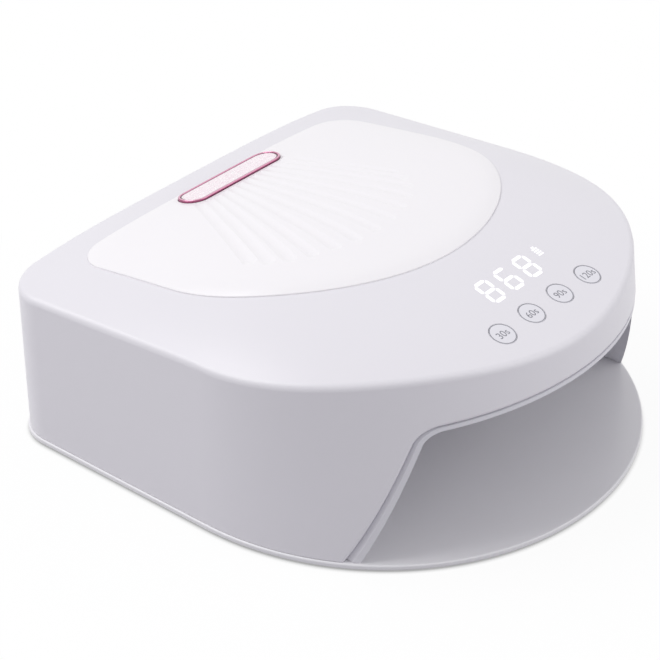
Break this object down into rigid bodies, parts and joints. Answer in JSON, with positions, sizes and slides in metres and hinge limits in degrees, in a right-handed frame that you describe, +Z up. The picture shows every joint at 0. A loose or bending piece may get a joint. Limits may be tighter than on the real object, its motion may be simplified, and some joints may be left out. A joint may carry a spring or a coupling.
{
  "type": "nail lamp",
  "caption": "Cordless nail curing lamp: D-shaped shell over an open hand chamber lined with LED beads, fan-shaped top panel, round timer keys, lit figures and a lift-off base tray.",
  "frame": {"origin": "centre of the footprint, on the surface that the feet stand on", "axes": "+X to the right seen from the front, +Y from the hand opening to the back, +Z up"},
  "size_m": [0.2326, 0.2308, 0.0995],
  "materials": {
    "shell_white": "satin moulded",
    "panel_white": "gloss moulded",
    "liner_white": "gloss reflector",
    "tray_white": "fine matt moulded",
    "key_white": "satin with a printed ring and number",
    "badge_metal": "rose plated",
    "badge_glitter": "glitter under clear resin",
    "light_guide": "milky, lit",
    "frame_white": "moulded",
    "rubber_grey": "matt",
    "steel": "zinc plated",
    "magnet_nickel": "nickel plated",
    "board_white": "white solder mask",
    "board_green": "green solder mask",
    "led_lens": "clear lens over phosphor",
    "sensor_dark": "dark infrared lens",
    "component_black": "moulded",
    "plunger_red": "moulded",
    "display_white": "moulded",
    "cell_sleeve": "heat-shrink sleeve",
    "cradle_plastic": "moulded",
    "lead_sleeve": "flexible sleeve",
    "socket_black": "moulded",
    "pin_brass": "plated"
  },
  "bodies": {
    "base": {"base_tray": "tray_white", "base_feet": "rubber_grey", "keeper_discs": "steel"},
    "lamp": {"outer_shell": "shell_white", "bottom_frame": "frame_white", "latch_magnets": "magnet_nickel", "chamber_liner": "liner_white", "fan_panel": "panel_white", "badge_rim": "badge_metal", "badge_inlay": "badge_glitter", "tact_switches": "component_black", "key_board": "board_green", "figure_light_guides": "light_guide", "battery_sign_guides": "light_guide", "display_block": "display_white", "led_board_top": "board_white", "led_beads_top": "led_lens", "hand_sensors": "sensor_dark", "led_board_rear": "board_white", "led_beads_rear": "led_lens", "main_board": "board_green", "main_board_parts": "component_black", "charge_socket": "socket_black", "charge_socket_pin": "pin_brass", "socket_board": "board_green", "socket_stand": "cradle_plastic", "shell_screws": "steel", "board_screws": "steel", "panel_lead": "lead_sleeve", "led_lead_top": "lead_sleeve", "socket_lead": "lead_sleeve", "led_board_left": "board_white", "led_beads_left": "led_lens", "battery_cells_left": "cell_sleeve", "battery_cradle_left": "cradle_plastic", "battery_lead_left": "lead_sleeve", "led_lead_left": "lead_sleeve", "led_board_right": "board_white", "led_beads_right": "led_lens", "battery_cells_right": "cell_sleeve", "battery_cradle_right": "cradle_plastic", "battery_lead_right": "lead_sleeve", "led_lead_right": "lead_sleeve"},
    "key_30": {"key_cap_30": "key_white", "switch_plunger_30": "plunger_red"},
    "key_60": {"key_cap_60": "key_white", "switch_plunger_60": "plunger_red"},
    "key_90": {"key_cap_90": "key_white", "switch_plunger_90": "plunger_red"},
    "key_120": {"key_cap_120": "key_white", "switch_plunger_120": "plunger_red"}
  },
  "joints": [
    {"name": "lamp_lift", "type": "slide", "parent": "base", "child": "lamp", "axis": [0, 0, 1], "range_m": [0, 0.06]},
    {"name": "key_30_press", "type": "slide", "parent": "lamp", "child": "key_30", "axis": [0, 0, -1], "range_m": [0, 0.0006], "stiffness_N_per_m": 2500},
    {"name": "key_60_press", "type": "slide", "parent": "lamp", "child": "key_60", "axis": [0, 0, -1], "range_m": [0, 0.0006], "stiffness_N_per_m": 2500},
    {"name": "key_90_press", "type": "slide", "parent": "lamp", "child": "key_90", "axis": [0, 0, -1], "range_m": [0, 0.0006], "stiffness_N_per_m": 2500},
    {"name": "key_120_press", "type": "slide", "parent": "lamp", "child": "key_120", "axis": [0, 0, -1], "range_m": [0, 0.0006], "stiffness_N_per_m": 2500}
  ]
}
